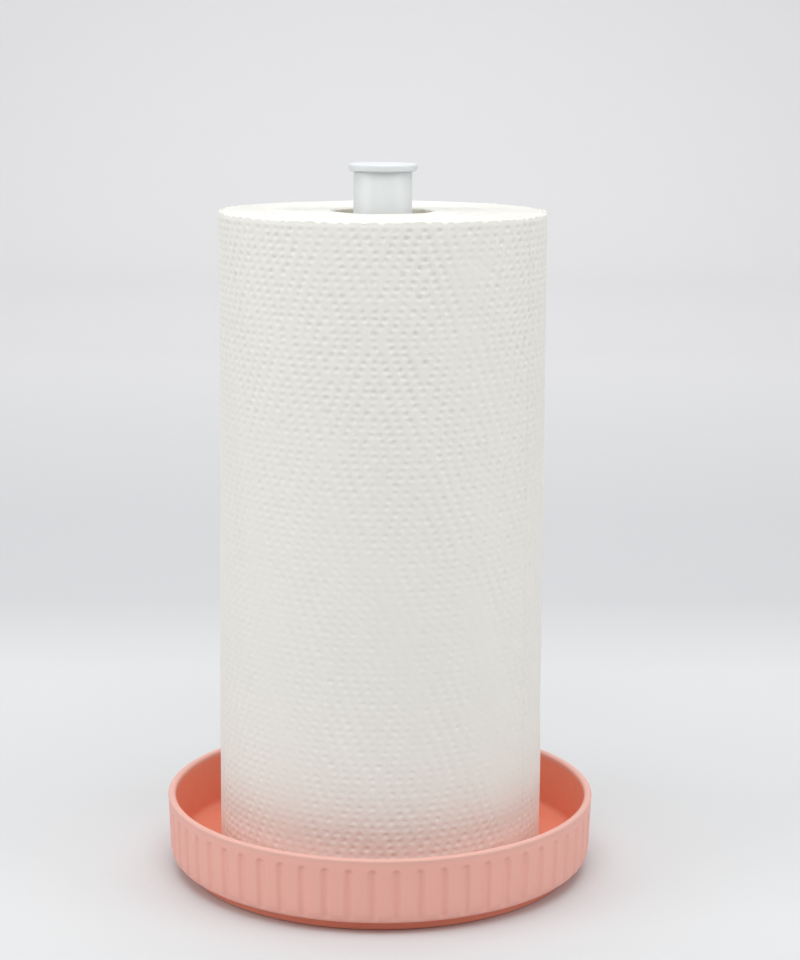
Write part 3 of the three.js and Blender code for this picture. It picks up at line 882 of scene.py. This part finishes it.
def sheet_mesh(name, front, back):
    """A closed sheet: the full grid in front and one plain row of long faces behind."""
    rows, cols = front.shape[:2]
    f = np.arange(rows * cols).reshape(rows, cols)
    b = -np.ones((rows, cols), int)
    rim = np.zeros((rows, cols), bool)
    rim[0], rim[-1], rim[:, 0], rim[:, -1] = True, True, True, True
    b[rim] = rows * cols + np.arange(rim.sum())
    verts = np.vstack([front.reshape(-1, 3), back[rim]])
    i, j = np.arange(rows - 1), np.arange(cols - 1)
    quads = [
        np.stack([f[:-1, :-1], f[:-1, 1:], f[1:, 1:], f[1:, :-1]], -1).reshape(-1, 4),
        np.stack([f[0, j + 1], f[0, j], b[0, j], b[0, j + 1]], -1),
        np.stack([f[-1, j], f[-1, j + 1], b[-1, j + 1], b[-1, j]], -1),
        np.stack([f[i, 0], f[i + 1, 0], b[i + 1, 0], b[i, 0]], -1),
        np.stack([f[i + 1, -1], f[i, -1], b[i, -1], b[i + 1, -1]], -1),
        np.stack([b[0, 2:-1], b[0, 1:-2], b[-1, 1:-2], b[-1, 2:-1]], -1),
    ]
    ends = [[b[0, 1], *b[:, 0], b[-1, 1]], [b[0, -1], b[0, -2], b[-1, -2], *b[::-1, -1][:-1]]]
    return make(name, verts, np.vstack(quads), [[int(k) for k in end] for end in ends], 75)


turn_points = outer_turn()
for i, (name, node) in enumerate(SHEETS.items()):
    hold(sheet_mesh(name, *sheet_faces(i, *turn_points)), "roll", node, PAPER)


# ---- CAD nodes that stay as they are, with their finish ----
for node, material in (("ballast", STEEL), ("post_insert", INNER)):
    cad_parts[node].data.materials.clear()
    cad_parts[node].data.materials.append(material)


# ---- stage ----
SWEEP_FRONT, SWEEP_BEND, SWEEP_RADIUS, SWEEP_TOP = -12.0, 2.6, 0.5, 4.0
SWEEP_HALF_WIDTH = 8.0
SWEEP_STEPS = 24


def studio_paper():
    """Pale grey, with bands of painted shade and painted light: darker on the floor behind the holder,
    lighter again towards and up the backdrop.
    """
    look = Look("studio_paper", (0.695, 0.705, 0.715), 0.8, Specular_IOR_Level=0.15)
    look.tint(look.noise(3, 3), 0.3, 0.7, 0.3, (0.68, 0.69, 0.705))
    # painted shade: a darker band on the floor from 0.31 m behind the holder
    look.tint(look.axis("Y"), 0.31, 0.48, 1.0, (0.60, 0.61, 0.625))
    # painted light: lighter again from 0.75 m back
    look.tint(look.axis("Y"), 0.75, 1.6, 1.0, (0.685, 0.685, 0.695))
    # painted light: lighter still towards and up the backdrop
    look.tint(look.axis("Y"), 1.75, 2.6, 1.0, (0.77, 0.77, 0.78))
    return look.material


def sweep():
    """A pale floor that curves up into a backdrop far behind the holder."""
    points = [(SWEEP_FRONT, 0.0), (SWEEP_BEND, 0.0)]
    for k in range(1, SWEEP_STEPS + 1):
        a = k / SWEEP_STEPS * math.pi / 2
        points.append((SWEEP_BEND + SWEEP_RADIUS * math.sin(a), SWEEP_RADIUS * (1 - math.cos(a))))
    points.append((SWEEP_BEND + SWEEP_RADIUS, SWEEP_TOP))
    verts = [(x, y, z) for y, z in points for x in (-SWEEP_HALF_WIDTH, SWEEP_HALF_WIDTH)]
    faces = [(2 * k, 2 * k + 1, 2 * k + 3, 2 * k + 2) for k in range(len(points) - 1)]
    mesh = bpy.data.meshes.new("studio_sweep")
    mesh.from_pydata(verts, [], faces)
    shade(mesh)
    mesh.materials.append(studio_paper())
    linked("studio_sweep", mesh)


sweep()


# ---- light ----
def softbox(name, place, aim, width, depth, power):
    data = bpy.data.lights.new(name, "AREA")
    data.shape, data.size, data.size_y = "RECTANGLE", width, depth
    data.energy = power
    obj = linked(name, data)
    obj.location = place
    obj.rotation_euler = (Vector(aim) - Vector(place)).to_track_quat("-Z", "Y").to_euler()


softbox("top_box", (0.0, -0.25, 1.5), (0, -0.05, 0.1), 1.4, 1.2, 8.0)
softbox("key_box", (0.0, -0.75, 1.15), (0, 0, 0.15), 0.9, 0.5, 4.1)
softbox("left_box", (-1.25, -0.45, 0.85), (0, 0, 0.15), 0.9, 0.9, 6.6)
softbox("right_box", (1.25, -0.45, 0.85), (0, 0, 0.15), 0.9, 0.9, 5.5)
softbox("back_box", (0.0, 1.3, 2.1), (0, 2.6, 0.4), 3.0, 1.2, 42)

world = bpy.data.worlds.new("studio")
world.use_nodes = True
world.node_tree.nodes["Background"].inputs["Color"].default_value = (1, 1, 1, 1)
world.node_tree.nodes["Background"].inputs["Strength"].default_value = 0.30
bpy.context.scene.world = world
bpy.context.scene.view_settings.view_transform = "Standard"


# ---- camera ----
CAMERA_PLACE = (0, -0.9596, 0.3529)
PITCH, YAW, TILT = 0.1463, 0.0081, 0.0058
SENSOR_MM, LENS_MM, SHIFT_UP = 36, 84.2625, -0.0965625

forward = Vector((math.sin(YAW) * math.cos(PITCH), math.cos(YAW) * math.cos(PITCH), -math.sin(PITCH)))
level = Vector((math.cos(YAW), -math.sin(YAW), 0))
upright = level.cross(forward)
right = math.cos(TILT) * level + math.sin(TILT) * upright
upward = math.cos(TILT) * upright - math.sin(TILT) * level
camera = bpy.data.cameras.new("camera")
camera.sensor_width = SENSOR_MM
camera.lens = LENS_MM
camera.shift_y = SHIFT_UP
camera.clip_end = 50
eye = linked("camera", camera)
axes = Matrix((right, upward, -forward)).transposed().to_4x4()
eye.matrix_world = Matrix.Translation(CAMERA_PLACE) @ axes
bpy.context.scene.camera = eye
